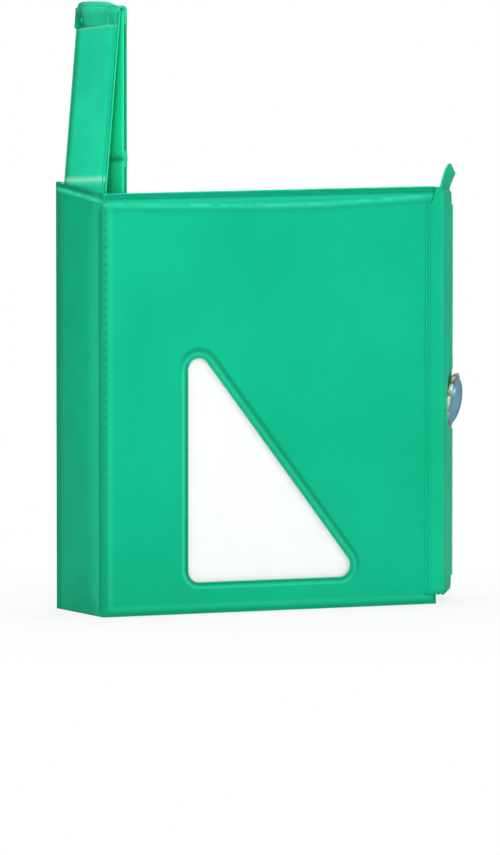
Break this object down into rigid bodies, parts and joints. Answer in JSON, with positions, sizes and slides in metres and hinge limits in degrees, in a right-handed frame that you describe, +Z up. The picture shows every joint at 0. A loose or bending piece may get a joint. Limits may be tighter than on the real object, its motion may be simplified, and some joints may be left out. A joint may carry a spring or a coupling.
{
  "type": "storage case",
  "caption": "Soft vinyl storage case with card stiffeners, a triangular film window, a folding tuck lid and a side flap with a snap.",
  "frame": {"origin": "middle of the bottom end, where the case stands", "axes": "+X to the right of the front panel, +Y away from the front, +Z up"},
  "size_m": [0.1546, 0.0436, 0.2151],
  "materials": {
    "vinyl": "glossy soft vinyl",
    "vinyl_side": "glossy soft vinyl",
    "card": "matt grey board",
    "lining": "satin white vinyl",
    "film": "clear film",
    "snap_metal": "polished nickel plate"
  },
  "bodies": {
    "case": {"front_skin": "vinyl", "front_board": "card", "front_lining": "lining", "window_film": "film", "window_weld": "vinyl", "back_skin": "vinyl", "back_board": "card", "back_lining": "lining", "spine_skin": "vinyl_side", "spine_board": "card", "spine_lining": "lining", "end_skin": "vinyl_side", "end_board": "card", "end_lining": "lining", "bottom_skin": "vinyl_side", "bottom_board": "card", "bottom_lining": "lining", "front_rim_weld": "vinyl", "back_rim_weld": "vinyl", "end_rim_weld": "vinyl_side", "front_rim_bead": "vinyl", "back_rim_bead": "vinyl", "spine_rim_bead": "vinyl_side", "spine_edge_beads": "vinyl_side", "lid_hinge_strip": "vinyl", "flap_hinge_strip": "vinyl", "snap_stud": "snap_metal", "snap_eyelet": "snap_metal"},
    "flap": {"flap_skin": "vinyl", "flap_board": "card", "flap_lining": "vinyl_side", "flap_ear": "vinyl", "flap_edge_bead": "vinyl", "snap_cap": "snap_metal", "snap_socket": "snap_metal"},
    "lid": {"lid_skin": "vinyl", "lid_board": "card", "lid_lining": "vinyl_side", "lid_crease": "vinyl"},
    "lid_far": {"lid_far_skin": "vinyl", "lid_far_board": "card", "lid_far_lining": "vinyl_side", "tuck_crease": "vinyl"},
    "tuck": {"tuck_skin": "vinyl", "tuck_board": "card", "tuck_lining": "vinyl_side"}
  },
  "joints": [
    {"name": "flap_hinge", "type": "hinge", "parent": "case", "child": "flap", "pos_m": [0.0673, -0.0206, 0], "axis": [0, 0, 1], "range_deg": [-110, 33]},
    {"name": "lid_hinge", "type": "hinge", "parent": "case", "child": "lid", "pos_m": [-0.06321, 0, 0.145], "axis": [0, 1, 0], "range_deg": [0, 85]},
    {"name": "lid_fold", "type": "hinge", "parent": "lid", "child": "lid_far", "pos_m": [-0.05711, 0, 0.21473], "axis": [0, 1, 0], "range_deg": [-175, 0]},
    {"name": "tuck_fold", "type": "hinge", "parent": "lid_far", "child": "tuck", "pos_m": [-0.05711, 0, 0.16063], "axis": [0, 1, 0], "range_deg": [0, 90]}
  ],
  "couplings": [
    {"joint": "lid_fold", "follows": "lid_hinge", "ratio": -2.0588},
    {"joint": "tuck_fold", "follows": "lid_hinge", "ratio": 1.0588}
  ]
}
